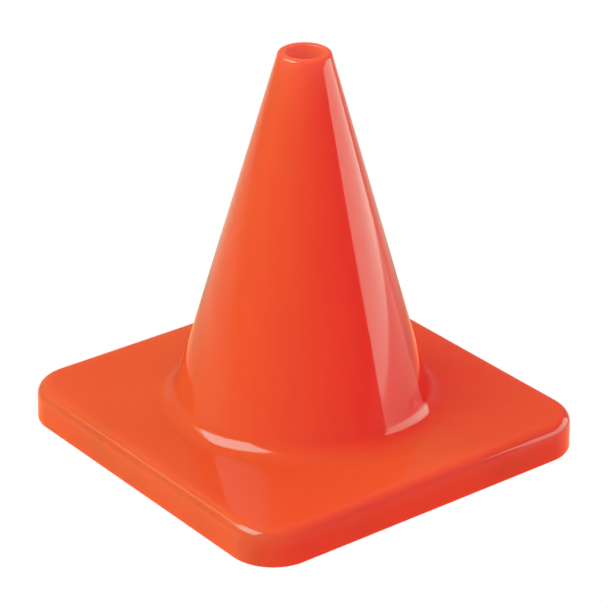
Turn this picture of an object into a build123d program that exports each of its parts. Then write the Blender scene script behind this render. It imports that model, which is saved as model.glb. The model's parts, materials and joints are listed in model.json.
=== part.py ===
from build123d import *
import math
import os

# A six-inch moulded PVC traffic cone.
#
# The cone is made of two mouldings. The shell is one glossy orange skin: a hollow cone that runs
# through a root fillet into a square plate with a turned-down skirt. The ballast is a heavy
# slab poured into the underside of that plate. It grips the shell by a bead round the skirt and by
# headed pegs under the plate, and it stands on eight short feet.
#
# Units are millimetres. The origin is on the ground, on the axis of the cone, with +Z up.

# --- driving dimensions -------------------------------------------------------------------
BASE_WIDTH = 152.0  # square base, side to side at the ground
HEIGHT = 152.0  # ground to the top of the rim
BASE_THICKNESS = 14.0
BASE_CORNER_RADIUS = 17.5
BASE_EDGE_RADIUS = 4.2  # rounding of the plate's top edge
SKIRT_EDGE_RADIUS = 0.6  # rounding where the skirt meets the ground
SIDE_DRAFT_DEG = 1.2  # the skirt leans in so that it leaves the mould

ROOT_RADIUS = 48.5  # cone surface where it would meet the top of the plate
TIP_RADIUS = 9.5  # cone surface at the top of the rim
ROOT_FILLET = 8.0
WALL = 2.5  # skin thickness, square to its surface

RIM_OUTER_RADIUS = 1.5  # rounding of the rim's outer edge
RIM_INNER_RADIUS = 0.8  # rounding of the mouth
MOUTH_RADIUS = 6.8  # straight hole through the rim
RIM_DEPTH = 7.0  # top of the rim to the lower end of the straight hole
RIM_SHOULDER = 4.0  # height over which the thick rim thins down to the wall

BEAD_RADIUS = 1.2  # bead inside the skirt that grips the ballast
BEAD_HEIGHT = 6.0
PEG_RADIUS = 2.5
PEG_HEAD_RADIUS = 4.0
PEG_HEAD_THICKNESS = 2.0
PEG_LENGTH = 6.0
PEG_SPREAD = 116.0  # spacing of the pegs, at the corners and at the middles of the sides
POCKET_EDGE_RADIUS = 1.5

BALLAST_RECESS = 1.5  # underside of the slab to the ground, which is also the feet's height
STACKING_RELIEF = 8.0  # rounding that clears the root fillet of the cone below in a stack
FOOT_RADIUS = 5.0
FOOT_EDGE_RADIUS = 0.5
FOOT_CORNER_SPACING = 112.0
FOOT_SIDE_SPACING = 128.0

# --- worked-out dimensions ----------------------------------------------------------------
CONE_HEIGHT = HEIGHT - BASE_THICKNESS
CONE_SLOPE = (ROOT_RADIUS - TIP_RADIUS) / CONE_HEIGHT
HALF_ANGLE = math.atan(CONE_SLOPE)
WALL_ACROSS = WALL / math.cos(HALF_ANGLE)  # skin thickness measured level
POCKET_DEPTH = BASE_THICKNESS - WALL
POCKET_WIDTH = BASE_WIDTH - 2 * WALL
POCKET_CORNER_RADIUS = BASE_CORNER_RADIUS - WALL
OVERCUT = 1.0  # how far a cutting shape runs past the face it opens


def outer_radius(height):
    """Radius of the cone's outer surface at a height above the ground."""
    return TIP_RADIUS + CONE_SLOPE * (HEIGHT - height)


def inner_radius(height):
    """Radius of the hollow inside the cone at a height above the ground."""
    return outer_radius(height) - WALL_ACROSS


def make_hollow():
    """The space inside the cone, open below the ground and through the rim."""
    rim_bottom = HEIGHT - RIM_DEPTH
    shoulder_bottom = rim_bottom - RIM_SHOULDER
    with BuildPart() as hollow:
        with BuildSketch(Plane.XZ):
            with BuildLine():
                Polyline(
                    (0, -OVERCUT),
                    (inner_radius(-OVERCUT), -OVERCUT),
                    (inner_radius(shoulder_bottom), shoulder_bottom),
                    (MOUTH_RADIUS, rim_bottom),
                    (MOUTH_RADIUS, HEIGHT + OVERCUT),
                    (0, HEIGHT + OVERCUT),
                    close=True,
                )
            make_face()
        revolve(axis=Axis.Z)
    return hollow.part


def make_pocket():
    """The space under the plate, inside the skirt, that the ballast is poured into."""
    with BuildPart() as pocket:
        with BuildSketch():
            RectangleRounded(POCKET_WIDTH, POCKET_WIDTH, POCKET_CORNER_RADIUS)
        extrude(amount=POCKET_DEPTH, taper=SIDE_DRAFT_DEG)
        ceiling = pocket.faces().sort_by(Axis.Z)[-1]
        fillet(ceiling.edges(), radius=POCKET_EDGE_RADIUS)
    return pocket.part


def make_bead():
    """The bead that runs round the inside of the skirt."""
    width = POCKET_WIDTH - 2 * BEAD_HEIGHT * math.tan(math.radians(SIDE_DRAFT_DEG))
    with BuildSketch(Plane.XY.offset(BEAD_HEIGHT)) as outline:
        RectangleRounded(width, width, POCKET_CORNER_RADIUS)
    track = outline.sketch.face().outer_wire()
    with BuildPart() as bead:
        with BuildSketch(Plane(track @ 0, z_dir=track % 0)):
            Circle(BEAD_RADIUS)
        sweep(path=track)
    return bead.part


def full_circles(builder):
    """The circular edges of a part that go all the way round."""
    circles = builder.edges().filter_by(GeomType.CIRCLE)
    return circles.filter_by(lambda edge: edge.is_closed)


hollow = make_hollow()
pocket = make_pocket()
bead = make_bead()

# Eight pegs: one at each corner and one at the middle of each side.
peg_places = [
    (column * PEG_SPREAD / 2, row * PEG_SPREAD / 2)
    for column in (-1, 0, 1)
    for row in (-1, 0, 1)
    if (column, row) != (0, 0)
]

# --- shell: cone, plate and skirt in one skin ----------------------------------------------
with BuildPart() as cone_shell:
    with BuildSketch():
        RectangleRounded(BASE_WIDTH, BASE_WIDTH, BASE_CORNER_RADIUS)
    extrude(amount=BASE_THICKNESS, taper=SIDE_DRAFT_DEG)
    plate_top = cone_shell.faces().sort_by(Axis.Z)[-1]
    fillet(plate_top.edges(), radius=BASE_EDGE_RADIUS)
    ground_face = cone_shell.faces().sort_by(Axis.Z)[0]
    fillet(ground_face.edges(), radius=SKIRT_EDGE_RADIUS)

    with Locations((0, 0, BASE_THICKNESS)):
        Cone(
            bottom_radius=ROOT_RADIUS,
            top_radius=TIP_RADIUS,
            height=CONE_HEIGHT,
            align=(Align.CENTER, Align.CENTER, Align.MIN),
        )
    tip_ring = full_circles(cone_shell).sort_by(Axis.Z)[-1]
    root_ring = full_circles(cone_shell).sort_by(Axis.Z)[0]
    fillet(tip_ring, radius=RIM_OUTER_RADIUS)
    fillet(root_ring, radius=ROOT_FILLET)

    add(pocket, mode=Mode.SUBTRACT)
    add(bead)
    with BuildSketch(Plane.XY.offset(POCKET_DEPTH)):
        with Locations(*peg_places):
            Circle(PEG_RADIUS)
    extrude(amount=-PEG_LENGTH)
    with BuildSketch(Plane.XY.offset(POCKET_DEPTH - PEG_LENGTH)):
        with Locations(*peg_places):
            Circle(PEG_HEAD_RADIUS)
    extrude(amount=PEG_HEAD_THICKNESS)

    add(hollow, mode=Mode.SUBTRACT)
    mouth_ring = full_circles(cone_shell).group_by(Axis.Z)[-1].sort_by(SortBy.RADIUS)[0]
    fillet(mouth_ring, radius=RIM_INNER_RADIUS)

cone_shell.part.label = "cone_shell"

# --- ballast: the heavy slab under the plate -----------------------------------------------
with BuildPart() as base_ballast:
    add(pocket)
    with BuildSketch():
        Rectangle(BASE_WIDTH, BASE_WIDTH)
    extrude(amount=BALLAST_RECESS, mode=Mode.SUBTRACT)
    add(hollow, mode=Mode.SUBTRACT)
    lower_ring = full_circles(base_ballast).sort_by(Axis.Z)[0]
    fillet(lower_ring, radius=STACKING_RELIEF)

    with BuildSketch():
        with GridLocations(FOOT_CORNER_SPACING, FOOT_CORNER_SPACING, 2, 2):
            Circle(FOOT_RADIUS)
        with PolarLocations(FOOT_SIDE_SPACING / 2, 4):
            Circle(FOOT_RADIUS)
    extrude(amount=BALLAST_RECESS)
    foot_rims = full_circles(base_ballast).group_by(Axis.Z)[0]
    fillet(foot_rims, radius=FOOT_EDGE_RADIUS)
    add(cone_shell.part, mode=Mode.SUBTRACT)

base_ballast.part.label = "base_ballast"

os.makedirs("parts", exist_ok=True)
for piece in (cone_shell.part, base_ballast.part):
    export_step(piece, f"parts/{piece.label}.step")
    print(piece.label, "volume", round(piece.volume), "mm3", "valid", piece.is_valid)
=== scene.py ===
"""The looks of a moulded PVC traffic cone: its glossy orange skin, its cast ballast and the studio.

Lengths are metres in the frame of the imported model: ground at z = 0, cone axis on z, +Z up.
"""

import json
import math

import bmesh
import bpy
from mathutils import Matrix, Vector, noise


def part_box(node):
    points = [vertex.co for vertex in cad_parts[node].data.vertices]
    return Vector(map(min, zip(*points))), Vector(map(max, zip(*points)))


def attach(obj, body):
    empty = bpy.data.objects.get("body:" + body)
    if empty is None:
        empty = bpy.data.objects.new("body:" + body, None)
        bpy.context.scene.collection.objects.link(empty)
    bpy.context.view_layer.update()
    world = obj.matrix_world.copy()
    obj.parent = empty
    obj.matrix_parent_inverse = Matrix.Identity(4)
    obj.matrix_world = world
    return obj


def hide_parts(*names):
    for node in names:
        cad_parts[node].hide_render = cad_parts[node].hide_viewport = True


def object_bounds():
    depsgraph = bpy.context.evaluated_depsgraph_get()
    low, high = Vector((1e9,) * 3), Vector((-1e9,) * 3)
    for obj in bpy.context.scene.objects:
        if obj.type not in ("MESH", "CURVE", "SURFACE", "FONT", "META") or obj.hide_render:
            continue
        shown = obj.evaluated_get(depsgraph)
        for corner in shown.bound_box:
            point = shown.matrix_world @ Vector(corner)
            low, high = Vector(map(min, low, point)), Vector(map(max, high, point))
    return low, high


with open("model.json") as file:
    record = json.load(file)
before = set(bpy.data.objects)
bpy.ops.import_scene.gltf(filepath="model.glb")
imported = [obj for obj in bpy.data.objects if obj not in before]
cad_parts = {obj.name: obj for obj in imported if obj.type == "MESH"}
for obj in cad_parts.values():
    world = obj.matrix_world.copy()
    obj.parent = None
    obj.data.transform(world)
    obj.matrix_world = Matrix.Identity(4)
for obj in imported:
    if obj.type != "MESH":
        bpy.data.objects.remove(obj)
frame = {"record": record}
cad_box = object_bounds()

# --- sizes, from the frame --------------------------------------------------------------------
MM = 0.001
mouth = next(mount for mount in frame["record"]["mounts"] if mount["name"] == "top_mouth")
GROUND = cad_box[0].z
HEIGHT = cad_box[1].z
BASE_HALF = cad_box[1].x  # axis to side of the base, at the ground
MOUTH_RADIUS = mouth["dims"]["r_mm"] * MM
MOUTH_TOP = mouth["pos_m"][2] + mouth["dims"]["length_mm"] * MM / 2
MOUTH_BOTTOM = mouth["pos_m"][2] - mouth["dims"]["length_mm"] * MM / 2
BALLAST_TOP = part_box("base_ballast")[1].z
BALLAST_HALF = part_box("base_ballast")[1].x

# --- sizes of the mouldings -------------------------------------------------------------------
PLATE_TOP = 14 * MM
CORNER_RADIUS = 17.5 * MM  # of the base, at the ground
CORNER_CENTRE = BASE_HALF - CORNER_RADIUS
SIDE_DRAFT = math.radians(1.2)  # the skirt leans in as it rises
EDGE_RADIUS = 4.2 * MM  # rounding of the plate's top edge
SKIRT_EDGE_RADIUS = 0.6 * MM
ROOT_RADIUS = 48.5 * MM  # cone surface where it would meet the top of the plate
TIP_RADIUS = 9.5 * MM  # cone surface at the top of the rim
ROOT_FILLET = 8.0 * MM
RIM_OUTER_RADIUS = 1.5 * MM
WALL = 2.5 * MM
SHOULDER_HEIGHT = 4 * MM  # over which the thick rim thins down to the wall
CONE_SLOPE = (ROOT_RADIUS - TIP_RADIUS) / (HEIGHT - PLATE_TOP)
HALF_ANGLE = math.atan(CONE_SLOPE)
BALLAST_BOTTOM = 1.5 * MM
STACKING_RELIEF = 8 * MM  # rounding where the slab's underside turns up into the hollow
FOOT_RADIUS = 5 * MM
FOOT_CORNER = 56 * MM  # axis to a corner foot, along x and along y
FOOT_SIDE = 64 * MM  # axis to a foot at the middle of a side
FOOT_PLACES = [(x * FOOT_CORNER, y * FOOT_CORNER) for x in (-1, 1) for y in (-1, 1)]
FOOT_PLACES += [(FOOT_SIDE, 0), (-FOOT_SIDE, 0), (0, FOOT_SIDE), (0, -FOOT_SIDE)]

# Waviness of each moulding, in layers of (height, size of a ripple).
SHELL_RIPPLES = [(0.035 * MM, 34 * MM), (0.012 * MM, 13 * MM)]
SLAB_RIPPLES = [(0.16 * MM, 17 * MM), (0.07 * MM, 5 * MM)]

# Every ring of the loft has this many points in each eighth of a turn.
STRAIGHT_STEPS = 22
CORNER_STEPS = 18
EIGHTH = STRAIGHT_STEPS + CORNER_STEPS
RING = 8 * EIGHTH


# --- mesh building ----------------------------------------------------------------------------
def cone_radius(z):
    """Radius of the cone's outer surface at height z."""
    return TIP_RADIUS + CONE_SLOPE * (HEIGHT - z)


def hollow_radius(z):
    """Radius of the hollow inside the cone at height z."""
    return cone_radius(z) - WALL / math.cos(HALF_ANGLE)


def side_half(z, half_at_ground=BASE_HALF):
    """Axis to a side at height z, for sides with the skirt's draft."""
    return half_at_ground - (z - GROUND) * math.tan(SIDE_DRAFT)


def arc(centre_r, centre_z, radius, start, end, steps):
    """Points (r, z) along an arc. Angles are in radians from +r towards +z."""
    turns = [start + (end - start) * i / steps for i in range(steps + 1)]
    return [(centre_r + radius * math.cos(t), centre_z + radius * math.sin(t)) for t in turns]


def line(start, end, steps):
    """Points (r, z) between two points, both left out."""
    shares = [i / steps for i in range(1, steps)]
    return [tuple(a + (b - a) * s for a, b in zip(start, end)) for s in shares]


def round_ring(radius, z):
    """A level circle."""
    turns = [2 * math.pi * i / RING for i in range(RING)]
    return [Vector((radius * math.cos(t), radius * math.sin(t), z)) for t in turns]


def square_ring(half, z):
    """A level square with rounded corners. Its corner arcs keep the base's corner centres."""
    corner = half - CORNER_CENTRE
    eighth = [(half, CORNER_CENTRE * i / STRAIGHT_STEPS) for i in range(STRAIGHT_STEPS)]
    for i in range(CORNER_STEPS + 1):
        turn = math.radians(45) * i / CORNER_STEPS
        x = CORNER_CENTRE + corner * math.cos(turn)
        y = CORNER_CENTRE + corner * math.sin(turn)
        eighth.append((x, y))
    quarter = eighth + [(y, x) for x, y in reversed(eighth[1:-1])]
    ring = []
    for turn in range(4):
        turned = Matrix.Rotation(math.radians(90) * turn, 3, "Z")
        ring += [turned @ Vector((x, y, z)) for x, y in quarter]
    return ring


def blend_rings(first, last, steps):
    """The rings between two rings, both left out."""
    shares = [i / steps for i in range(1, steps)]
    return [[a.lerp(b, share) for a, b in zip(first, last)] for share in shares]


def loft(rings):
    """A closed surface through the rings in order, and from the last back to the first."""
    bm = bmesh.new()
    grid = [[bm.verts.new(point) for point in ring] for ring in rings]
    for i, ring in enumerate(grid):
        after = grid[(i + 1) % len(grid)]
        for j in range(len(ring)):
            k = (j + 1) % len(ring)
            bm.faces.new((ring[j], ring[k], after[k], after[j]))
    bmesh.ops.recalc_face_normals(bm, faces=bm.faces)
    return bm


def lathe(outline, centre, segments=64):
    """A closed solid of revolution from (r, z) points that run from axis to axis."""
    bm = bmesh.new()
    turns = [2 * math.pi * i / segments for i in range(segments)]
    tips = [bm.verts.new((*centre, outline[i][1])) for i in (0, -1)]
    rings = []
    for r, z in outline[1:-1]:
        points = [(centre[0] + r * math.cos(t), centre[1] + r * math.sin(t), z) for t in turns]
        rings.append([bm.verts.new(point) for point in points])
    for j in range(segments):
        k = (j + 1) % segments
        bm.faces.new((tips[0], rings[0][k], rings[0][j]))
        bm.faces.new((tips[1], rings[-1][j], rings[-1][k]))
        for ring, after in zip(rings, rings[1:]):
            bm.faces.new((ring[j], ring[k], after[k], after[j]))
    bmesh.ops.recalc_face_normals(bm, faces=bm.faces)
    return bm


def roughen(bm, ripples):
    """Moves every point along its normal by layers of smooth noise."""
    bm.normal_update()
    for vert in bm.verts:
        lift = sum(height * noise.noise(vert.co / size) for height, size in ripples)
        vert.co += vert.normal * lift


def add_piece(name, bm, material, node):
    """Puts a mesh in the scene as the piece that stands for a CAD node."""
    mesh = bpy.data.meshes.new(name)
    bm.to_mesh(mesh)
    bm.free()
    mesh.shade_smooth()
    mesh.materials.append(material)
    piece = bpy.data.objects.new(name, mesh)
    bpy.context.scene.collection.objects.link(piece)
    normals = piece.modifiers.new("face_weighted_normals", "WEIGHTED_NORMAL")
    normals.keep_sharp = True
    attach(piece, "root")
    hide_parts(node)
    return piece


# --- node helpers -----------------------------------------------------------------------------
class Shader:
    """A short way to write a material's nodes."""

    def __init__(self, tree):
        self.tree = tree
        tree.nodes.clear()

    def node(self, kind, inputs=None, **settings):
        """Adds a node. Inputs are values or other nodes' outputs."""
        made = self.tree.nodes.new("ShaderNode" + kind)
        for key, value in settings.items():
            setattr(made, key, value)
        for key, value in (inputs or {}).items():
            if isinstance(value, bpy.types.NodeSocket):
                self.tree.links.new(value, made.inputs[key])
            else:
                made.inputs[key].default_value = value
        return made

    def math(self, operation, *values):
        """The result of arithmetic on values or outputs."""
        made = self.node("Math", dict(enumerate(values)), operation=operation)
        return made.outputs[0]

    def noise(self, place, scale, detail=2.0, roughness=0.5):
        """Smooth noise from 0 to 1, with scale in ripples per metre."""
        inputs = {"Vector": place, "Scale": scale, "Detail": detail, "Roughness": roughness}
        return self.node("TexNoise", inputs).outputs["Fac"]

    def span(self, value, low, high, to_low=0.0, to_high=1.0):
        """Maps low..high to to_low..to_high, clamped and eased at both ends."""
        inputs = {"Value": value, "From Min": low, "From Max": high}
        inputs.update({"To Min": to_low, "To Max": to_high})
        made = self.node("MapRange", inputs, interpolation_type="SMOOTHSTEP")
        return made.outputs["Result"]

    def blend(self, share, first, second):
        """Mixes two colours."""
        made = self.node("Mix", data_type="RGBA")
        for socket, value in zip((0, 6, 7), (share, first, second)):
            if isinstance(value, bpy.types.NodeSocket):
                self.tree.links.new(value, made.inputs[socket])
            else:
                made.inputs[socket].default_value = value
        return made.outputs[2]


def new_material(name):
    """An empty node material and its short-hand writer."""
    material = bpy.data.materials.new(name)
    material.use_nodes = True
    return material, Shader(material.node_tree)


def orange_pvc():
    """Glossy fluorescent orange PVC, with faint pigment streaks, smudges and worn edges."""
    material, shader = new_material("orange_pvc")
    place = shader.node("TexCoord").outputs["Object"]
    split = shader.node("SeparateXYZ", {0: place})
    height = split.outputs["Z"]

    # Pigment drifts in soft clouds, and in streaks that run up the cone from the plate.
    deep = (0.82, 0.083, 0.021, 1.0)
    bright = (0.86, 0.091, 0.024, 1.0)
    clouds = shader.noise(place, scale=22.0, detail=3.0)
    stretched = shader.node("Mapping", {"Vector": place, "Scale": (1.0, 1.0, 0.05)})
    streaks = shader.noise(stretched.outputs[0], scale=150.0, detail=2.0)
    above_plate = shader.span(height, PLATE_TOP, PLATE_TOP + ROOT_FILLET, to_high=0.6)
    drift = shader.node("Mix", {0: above_plate, 2: clouds, 3: streaks}).outputs[0]
    colour = shader.blend(shader.span(drift, 0.3, 0.7), deep, bright)

    # Grime gathers in the last millimetres above the ground, in patches.
    dirt = (0.30, 0.09, 0.05, 1.0)
    patches = shader.noise(place, scale=90.0, detail=4.0, roughness=0.65)
    near_ground = shader.span(height, 0.2 * MM, 4.0 * MM, to_low=1.0, to_high=0.0)
    grime = shader.math("MULTIPLY", near_ground, shader.span(patches, 0.5, 0.75, to_high=0.5))
    colour = shader.blend(grime, colour, dirt)

    # Smudges and scuffs dull the gloss, and a fine ripple breaks up its reflections.
    smudges = shader.noise(place, scale=34.0, detail=3.0, roughness=0.6)
    scuffs = shader.math("MULTIPLY", grime, 0.5)
    gloss = shader.span(smudges, 0.35, 0.75, to_low=0.07, to_high=0.11)
    roughness = shader.math("ADD", gloss, scuffs)
    peel = shader.noise(place, scale=420.0, detail=2.0)
    bump = shader.node("Bump", {"Strength": 0.35, "Distance": 0.012 * MM, "Height": peel})

    surface = shader.node(
        "BsdfPrincipled",
        {
            "Base Color": colour,
            "Roughness": roughness,
            "IOR": 1.52,
            "Subsurface Weight": 0.3,
            "Subsurface Radius": (1.0, 0.3, 0.15),
            "Subsurface Scale": 2.5 * MM,
            "Normal": bump.outputs["Normal"],
        },
    )
    # The skin is thin enough to let light through, so the mouth glows from within.
    share_through = 0.38
    through = shader.node("BsdfTranslucent", {"Color": (1.0, 0.6, 0.5, 1.0)})
    mixed = {0: share_through, 1: surface.outputs[0], 2: through.outputs[0]}
    skin = shader.node("MixShader", mixed)
    shader.node("OutputMaterial", {"Surface": skin.outputs[0]})
    return material


def black_filled_pvc():
    """Dull black ballast with pale filler specks and small burst bubbles."""
    material, shader = new_material("black_filled_pvc")
    place = shader.node("TexCoord").outputs["Object"]
    dark = (0.018, 0.018, 0.020, 1.0)
    light = (0.042, 0.040, 0.039, 1.0)
    filler = (0.16, 0.15, 0.14, 1.0)
    clouds = shader.noise(place, scale=60.0, detail=5.0, roughness=0.6)
    colour = shader.blend(shader.span(clouds, 0.3, 0.7), dark, light)
    specks = shader.noise(place, scale=1500.0, detail=1.0)
    colour = shader.blend(shader.span(specks, 0.68, 0.78, to_high=0.7), colour, filler)
    roughness = shader.span(clouds, 0.3, 0.7, to_low=0.52, to_high=0.74)

    grain = shader.noise(place, scale=900.0, detail=3.0, roughness=0.6)
    bubbles = shader.node("TexVoronoi", {"Vector": place, "Scale": 190.0}).outputs["Distance"]
    pits = shader.span(bubbles, 0.06, 0.2, to_low=-1.0, to_high=0.0)
    relief = shader.math("ADD", shader.math("MULTIPLY", grain, 0.4), pits)
    bump = shader.node("Bump", {"Strength": 0.6, "Distance": 0.2 * MM, "Height": relief})
    surface = shader.node(
        "BsdfPrincipled",
        {"Base Color": colour, "Roughness": roughness, "Normal": bump.outputs["Normal"]},
    )
    shader.node("OutputMaterial", {"Surface": surface.outputs[0]})
    return material


# --- the orange shell -------------------------------------------------------------------------
def shell_rings():
    """Rings from the mouth down the outside to the ground, then up the inside to the mouth."""
    lip_start = MOUTH_RADIUS + (HEIGHT - MOUTH_TOP)
    rim_z = HEIGHT - RIM_OUTER_RADIUS
    rim_r = cone_radius(rim_z) - RIM_OUTER_RADIUS / math.cos(HALF_ANGLE)
    root_z = PLATE_TOP + ROOT_FILLET
    root_r = ROOT_RADIUS + ROOT_FILLET * math.tan((math.pi / 2 - HALF_ANGLE) / 2)
    quarter = math.pi / 2

    outside = [(MOUTH_RADIUS, MOUTH_BOTTOM)]
    outside += line((MOUTH_RADIUS, MOUTH_BOTTOM), (MOUTH_RADIUS, MOUTH_TOP), steps=6)
    outside += arc(lip_start, MOUTH_TOP, HEIGHT - MOUTH_TOP, math.pi, quarter, steps=10)
    outside += line((lip_start, HEIGHT), (rim_r, HEIGHT), steps=3)
    outside += arc(rim_r, rim_z, RIM_OUTER_RADIUS, quarter, HALF_ANGLE, steps=8)
    start, end = math.pi + HALF_ANGLE, math.pi + quarter
    root = arc(root_r, root_z, ROOT_FILLET, start, end, steps=18)
    outside += line(outside[-1], root[0], steps=62)
    outside += root
    rings = [round_ring(r, z) for r, z in outside]

    edge_z = PLATE_TOP - EDGE_RADIUS
    edge_r = side_half(edge_z) - EDGE_RADIUS / math.cos(SIDE_DRAFT)
    plate_end = square_ring(edge_r, PLATE_TOP)
    rings += blend_rings(rings[-1], plate_end, steps=14)

    foot_z = GROUND + SKIRT_EDGE_RADIUS
    foot_r = side_half(foot_z) - SKIRT_EDGE_RADIUS / math.cos(SIDE_DRAFT)
    skirt = arc(edge_r, edge_z, EDGE_RADIUS, quarter, SIDE_DRAFT, steps=12)
    ground = arc(foot_r, foot_z, SKIRT_EDGE_RADIUS, SIDE_DRAFT, -quarter, steps=5)
    skirt += line(skirt[-1], ground[0], steps=6)
    skirt += ground

    inner_half = BASE_HALF - WALL
    ceiling = PLATE_TOP - WALL
    skirt += line((foot_r, GROUND), (inner_half, GROUND), steps=3)
    skirt.append((inner_half, GROUND))
    skirt.append((side_half(BALLAST_BOTTOM, inner_half), BALLAST_BOTTOM))
    skirt.append((side_half(ceiling, inner_half), ceiling))
    rings += [square_ring(half, z) for half, z in skirt]

    shoulder = MOUTH_BOTTOM - SHOULDER_HEIGHT
    inside = [(hollow_radius(ceiling), ceiling)]
    inside += line(inside[0], (hollow_radius(shoulder), shoulder), steps=48)
    inside.append((hollow_radius(shoulder), shoulder))
    inside += line(inside[-1], (MOUTH_RADIUS, MOUTH_BOTTOM), steps=4)
    rings += [round_ring(r, z) for r, z in inside]
    return rings


def build_shell():
    """The orange skin, with the slight waviness of a moulding."""
    bm = loft(shell_rings())
    roughen(bm, SHELL_RIPPLES)
    return add_piece("cone_shell_skin", bm, orange_pvc(), "cone_shell")


# --- the ballast ------------------------------------------------------------------------------
def ballast_rings():
    """Rings round the slab: its side, its underside, the stacking relief, the hollow, its top."""
    gap = 0.05 * MM  # keeps the slab's hidden faces off the shell's
    meniscus = 1.1 * MM  # radius of the creep along the skirt, left as the slab set
    lowest = GROUND + 0.5 * MM  # keeps the creep clear of the ground
    half = BALLAST_HALF - gap
    top = BALLAST_TOP - gap
    quarter = math.pi / 2

    side = [(side_half(top, half), top), (half, BALLAST_BOTTOM + meniscus)]
    creep = arc(half - meniscus, BALLAST_BOTTOM - meniscus, meniscus, 0, quarter, steps=6)
    side += [(r, max(z, lowest)) for r, z in creep]
    rings = [square_ring(r, z) for r, z in side]

    relief_r = hollow_radius(BALLAST_BOTTOM)
    relief_r += STACKING_RELIEF / math.tan((quarter + HALF_ANGLE) / 2)
    relief_z = BALLAST_BOTTOM + STACKING_RELIEF
    start, end = -quarter, -(math.pi - HALF_ANGLE)
    relief = arc(relief_r, relief_z, STACKING_RELIEF, start, end, steps=14)
    rings += blend_rings(rings[-1], round_ring(*relief[0]), steps=26)
    rings += [round_ring(r, z) for r, z in relief]
    rings.append(round_ring(hollow_radius(top) + gap, top))
    return rings


def foot(place):
    """One short round foot with a rounded rim and a flared root inside the slab."""
    edge = 0.5 * MM
    root = BALLAST_BOTTOM + 2 * MM
    quarter = math.pi / 2
    outline = [(0, GROUND), (FOOT_RADIUS / 2, GROUND)]
    outline += arc(FOOT_RADIUS - edge, GROUND + edge, edge, -quarter, 0, steps=6)
    outline += arc(FOOT_RADIUS + edge, BALLAST_BOTTOM - edge, edge, math.pi, quarter, steps=5)
    outline += [(FOOT_RADIUS + edge, root), (0, root)]
    return lathe(outline, place)


def all_feet():
    """The eight feet as one object, to be joined to the slab."""
    mesh = bpy.data.meshes.new("feet")
    gathered = bmesh.new()
    for place in FOOT_PLACES:
        single = foot(place)
        single.to_mesh(mesh)
        single.free()
        gathered.from_mesh(mesh)
    gathered.to_mesh(mesh)
    gathered.free()
    feet = bpy.data.objects.new("feet", mesh)
    bpy.context.scene.collection.objects.link(feet)
    return feet


def build_ballast():
    """The cast slab with its feet joined on."""
    bm = loft(ballast_rings())
    roughen(bm, SLAB_RIPPLES)
    material = black_filled_pvc()
    slab = add_piece("ballast_slab", bm, material, "base_ballast")

    feet = all_feet()
    join = slab.modifiers.new("join_feet", "BOOLEAN")
    join.operation = "UNION"
    join.object = feet
    slab.modifiers.move(slab.modifiers.find("join_feet"), 0)
    with bpy.context.temp_override(object=slab, active_object=slab):
        bpy.ops.object.modifier_apply(modifier="join_feet")
    bpy.data.objects.remove(feet)

    # The join leaves a few slivers where a foot crosses an edge of the slab.
    joined = bmesh.new()
    joined.from_mesh(slab.data)
    bmesh.ops.remove_doubles(joined, verts=joined.verts, dist=0.003 * MM)
    joined.to_mesh(slab.data)
    joined.free()
    slab.data.shade_smooth()
    return slab


# --- studio -----------------------------------------------------------------------------------
# Colours are linear RGB and carry the brightness. Lamps that shade have a tint, because the
# photographed orange saturates: bright sides turn towards orange and dim sides towards red.
HIGH_SHADE = (1.38, 7.70, 2.45)
LOW_SHADE = (0.10, 0.50, 0.20)
BACK_SHADE = (1.20, 5.00, 3.00)
NEAR_SHADE = (1.70, 0.00, 0.00)
BALLAST_SHADE = (0.00, 1.60, 1.50)

# The world's fill for shading, from above, from level and from below.
FILL_UP = (1.32, 0.20, 1.58)
FILL_SIDE = (0.62, 0.12, 0.20)
FILL_DOWN = (1.50, 0.12, 0.20)

# Lamps and surroundings that are seen only in reflections.
HIGH_SOFTBOX = (1.8, 9.0, 9.0)
EDGE_STRIP = (2.0, 2.5, 1.2)
LOW_SOFTBOX = (2.50, 4.70, 3.90)
ROOM_UP = (0.34, 0.24, 0.19)
ROOM_SIDE = (0.15, 0.34, 0.36)

# The floor sheet that reflections see, outwards from the cone, and the spans over which one
# colour gives way to the next. Its colours are painted light and shade: a painted orange glow
# from the cone on the floor close to it, painted shade further out and painted shade under the
# base.
PAINTED_SHADE_UNDER_BASE = (0.04, 0.04, 0.04)
PAINTED_BOUNCE_NEAR = (3.80, 1.00, 0.42)
PAINTED_SHADE_MID = (0.40, 0.85, 0.55)
SHEET_FAR = (1.10, 1.40, 1.10)
NEAR_TO_MID = (0.09, 0.15)
MID_TO_FAR = (0.15, 0.25)
FAR_TO_ROOM = (0.70, 0.95)

WHITE = (1.0, 1.0, 1.0, 1.0)
FAR_LAMP = 2.4  # from the cone to the lamps that stand well back
NEAR_LAMP = 0.45
LOW_LAMP = 0.40
LOW_LAMP_SIZE = (0.41, 0.17)
BELOW_LAMP = 1.0
FLOOR_REACH = 6.0

CAMERA_AZIMUTH = math.radians(51.69)
CAMERA_ELEVATION = math.radians(26.61)
CAMERA_ROLL = math.radians(0.47)
CAMERA_DISTANCE = 1.0992
CAMERA_LENS_MM = 177.1
AIM = Vector((0.00030, 0.00040, 0.05232))


def toward(side_angle, elevation):
    """Unit vector away from the object, by degrees right of the camera and above level."""
    turn = CAMERA_AZIMUTH - math.pi / 2 + math.radians(side_angle)
    level = math.cos(math.radians(elevation))
    rise = math.sin(math.radians(elevation))
    return Vector((math.cos(turn) * level, math.sin(turn) * level, rise))


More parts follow.
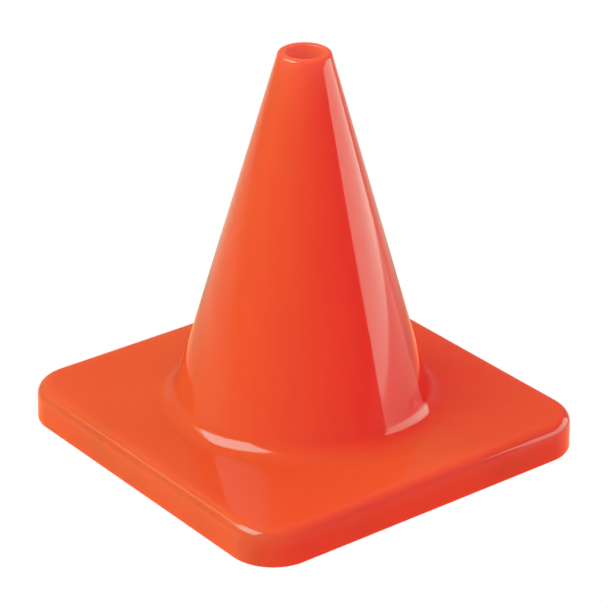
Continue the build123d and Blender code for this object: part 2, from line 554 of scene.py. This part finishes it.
def make_camera():
    """A long lens, so that the cone's sides stay nearly parallel."""
    back = toward(0, math.degrees(CAMERA_ELEVATION))
    right = Vector((math.cos(CAMERA_AZIMUTH), math.sin(CAMERA_AZIMUTH), 0))
    up = back.cross(right)
    across = right * math.cos(CAMERA_ROLL) + up * math.sin(CAMERA_ROLL)
    upward = up * math.cos(CAMERA_ROLL) - right * math.sin(CAMERA_ROLL)
    data = bpy.data.cameras.new("camera")
    data.lens = CAMERA_LENS_MM
    data.clip_start = 0.05
    data.clip_end = 50
    camera = bpy.data.objects.new("camera", data)
    bpy.context.scene.collection.objects.link(camera)
    turned = Matrix((across, upward, back)).transposed().to_4x4()
    camera.matrix_world = Matrix.Translation(AIM + back * CAMERA_DISTANCE) @ turned
    bpy.context.scene.camera = camera


def softbox(name, place, facing, size, radiance, role):
    """A rectangular lamp that shines against facing. Its role is to shade or to reflect."""
    data = bpy.data.lights.new(name, "AREA")
    data.shape = "RECTANGLE"
    data.size, data.size_y = size
    data.energy = math.pi * data.size * data.size_y
    data.color = radiance
    lamp = bpy.data.objects.new(name, data)
    bpy.context.scene.collection.objects.link(lamp)
    lamp.location = place
    lamp.rotation_euler = facing.to_track_quat("Z", "Y").to_euler()
    lamp.visible_camera = False
    lamp.visible_glossy = role == "reflect"
    lamp.visible_diffuse = role == "shade"
    lamp.visible_transmission = role == "shade"
    return lamp


def hang(name, side_angle, elevation, distance, size, radiance, role):
    """A softbox that faces the middle of the cone from a direction and a distance."""
    facing = toward(side_angle, elevation)
    place = facing * distance + Vector((0, 0, HEIGHT / 2))
    return softbox(name, place, facing, size, radiance, role)


def make_lights(ballast):
    """A low softbox on the right, high ones on the left, and lamps that only shade."""
    low_facing = toward(101, 0)
    low_place = low_facing * LOW_LAMP + Vector((0, 0, GROUND + LOW_LAMP_SIZE[1] / 2))
    softbox("low_softbox", low_place, low_facing, LOW_LAMP_SIZE, LOW_SOFTBOX, "reflect")
    softbox("low_shade", low_place, low_facing, LOW_LAMP_SIZE, LOW_SHADE, "shade")

    # Each has degrees right of the camera, degrees above level, distance, (width, height).
    hang("high_softbox", -71.5, 43, FAR_LAMP, (2.22, 1.58), HIGH_SOFTBOX, "reflect")
    hang("edge_strip", -104, 30, FAR_LAMP, (0.26, 0.70), EDGE_STRIP, "reflect")
    hang("high_shade", -70, 45, FAR_LAMP, (2.52, 2.24), HIGH_SHADE, "shade")
    hang("near_shade", 15, 50, NEAR_LAMP, (0.2, 0.2), NEAR_SHADE, "shade")
    hang("back_shade", 165, 35, FAR_LAMP, (1.6, 1.6), BACK_SHADE, "shade")

    # The fill from below is tinted for the orange. The black ballast alone gets what is missing
    # from white, so that it doesn't look red.
    down = Vector((0, 0, -1))
    below = softbox("ballast_shade", down * BELOW_LAMP, down, (1.6, 1.6), BALLAST_SHADE, "shade")
    receivers = bpy.data.collections.new("lit_from_below")
    receivers.objects.link(ballast)
    below.light_linking.receiver_collection = receivers


def make_world():
    """Plain white to the camera, a dim room to reflections, and a tinted fill for shading."""
    world = bpy.data.worlds.new("studio")
    bpy.context.scene.world = world
    world.use_nodes = True
    shader = Shader(world.node_tree)
    direction = shader.node("TexCoord").outputs["Generated"]
    rise = shader.node("SeparateXYZ", {0: direction}).outputs["Z"]
    fill = shader.blend(shader.span(rise, 0.0, 1.0), (*FILL_SIDE, 1.0), (*FILL_UP, 1.0))
    downward = shader.span(rise, -1.0, 0.0, to_low=1.0, to_high=0.0)
    fill = shader.blend(downward, fill, (*FILL_DOWN, 1.0))
    room = shader.blend(shader.span(rise, 0.1, 0.4), (*ROOM_SIDE, 1.0), (*ROOM_UP, 1.0))
    path = shader.node("LightPath")
    seen = shader.blend(path.outputs["Is Glossy Ray"], fill, room)
    seen = shader.blend(path.outputs["Is Camera Ray"], seen, WHITE)
    background = shader.node("Background", {"Color": seen, "Strength": 1.0})
    shader.node("OutputWorld", {"Surface": background.outputs[0]})


def painted_floor_light(shader):
    """The colours that reflections see on the floor, by distance from the cone, painted with light
    and shade.
    """
    place = shader.node("TexCoord").outputs["Object"]
    split = shader.node("SeparateXYZ", {0: place})
    across = [shader.math("ABSOLUTE", split.outputs[axis]) for axis in ("X", "Y")]
    distance = shader.math("MAXIMUM", *across)
    # Painted light and shade: a painted orange glow from the cone close to it, painted shade
    # further out, then the plain floor.
    sheet = shader.blend(
        shader.span(distance, *NEAR_TO_MID), (*PAINTED_BOUNCE_NEAR, 1.0), (*PAINTED_SHADE_MID, 1.0)
    )
    sheet = shader.blend(shader.span(distance, *MID_TO_FAR), sheet, (*SHEET_FAR, 1.0))
    sheet = shader.blend(shader.span(distance, *FAR_TO_ROOM), sheet, (*ROOM_SIDE, 1.0))

    # Under the base it is painted dark, as painted shade. Distance from the corner's centre follows
    # the rounded corners.
    past = [shader.math("SUBTRACT", side, CORNER_CENTRE) for side in across]
    past = [shader.math("MAXIMUM", side, 0.0) for side in past]
    squares = [shader.math("MULTIPLY", side, side) for side in past]
    reached = shader.math("SQRT", shader.math("ADD", *squares))
    dark_end = CORNER_RADIUS - 3 * MM
    light_start = CORNER_RADIUS - 1 * MM
    painted_shade_mask = shader.span(reached, dark_end, light_start, to_low=1.0, to_high=0.0)
    return shader.blend(painted_shade_mask, sheet, (*PAINTED_SHADE_UNDER_BASE, 1.0))


def white_floor():
    """Pure white to the camera, a slightly glossy sheet to reflections and clear from below."""
    material, shader = new_material("white_floor")
    # Reflections see the sheet's painted light and painted shade as emission.
    matt = shader.node("Emission", {"Color": painted_floor_light(shader)})
    gloss = shader.node("BsdfGlossy", {"Color": (0.6, 0.6, 0.6, 1.0), "Roughness": 0.15})
    sheen = shader.node("Fresnel", {"IOR": 1.45}).outputs[0]
    sheet = shader.node("MixShader", {0: sheen, 1: matt.outputs[0], 2: gloss.outputs[0]})
    plain = shader.node("Emission", {"Color": WHITE})
    camera_ray = shader.node("LightPath").outputs["Is Camera Ray"]
    above = shader.node("MixShader", {0: camera_ray, 1: sheet.outputs[0], 2: plain.outputs[0]})
    under = shader.node("NewGeometry").outputs["Backfacing"]
    clear = shader.node("BsdfTransparent")
    either = shader.node("MixShader", {0: under, 1: above.outputs[0], 2: clear.outputs[0]})
    shader.node("OutputMaterial", {"Surface": either.outputs[0]})
    return material


def make_floor():
    """A plain white floor, which casts no light or shadow on the object."""
    mesh = bpy.data.meshes.new("floor")
    sides = [(-1, -1), (1, -1), (1, 1), (-1, 1)]
    corners = [(x * FLOOR_REACH, y * FLOOR_REACH, GROUND) for x, y in sides]
    mesh.from_pydata(corners, [], [(0, 1, 2, 3)])
    mesh.materials.append(white_floor())
    floor = bpy.data.objects.new("floor", mesh)
    bpy.context.scene.collection.objects.link(floor)
    floor.visible_diffuse = False
    floor.visible_transmission = False
    floor.visible_shadow = False


# --- everything together ----------------------------------------------------------------------
build_shell()
ballast = build_ballast()
make_camera()
make_lights(ballast)
make_world()
make_floor()
bpy.context.scene.view_settings.view_transform = "Standard"
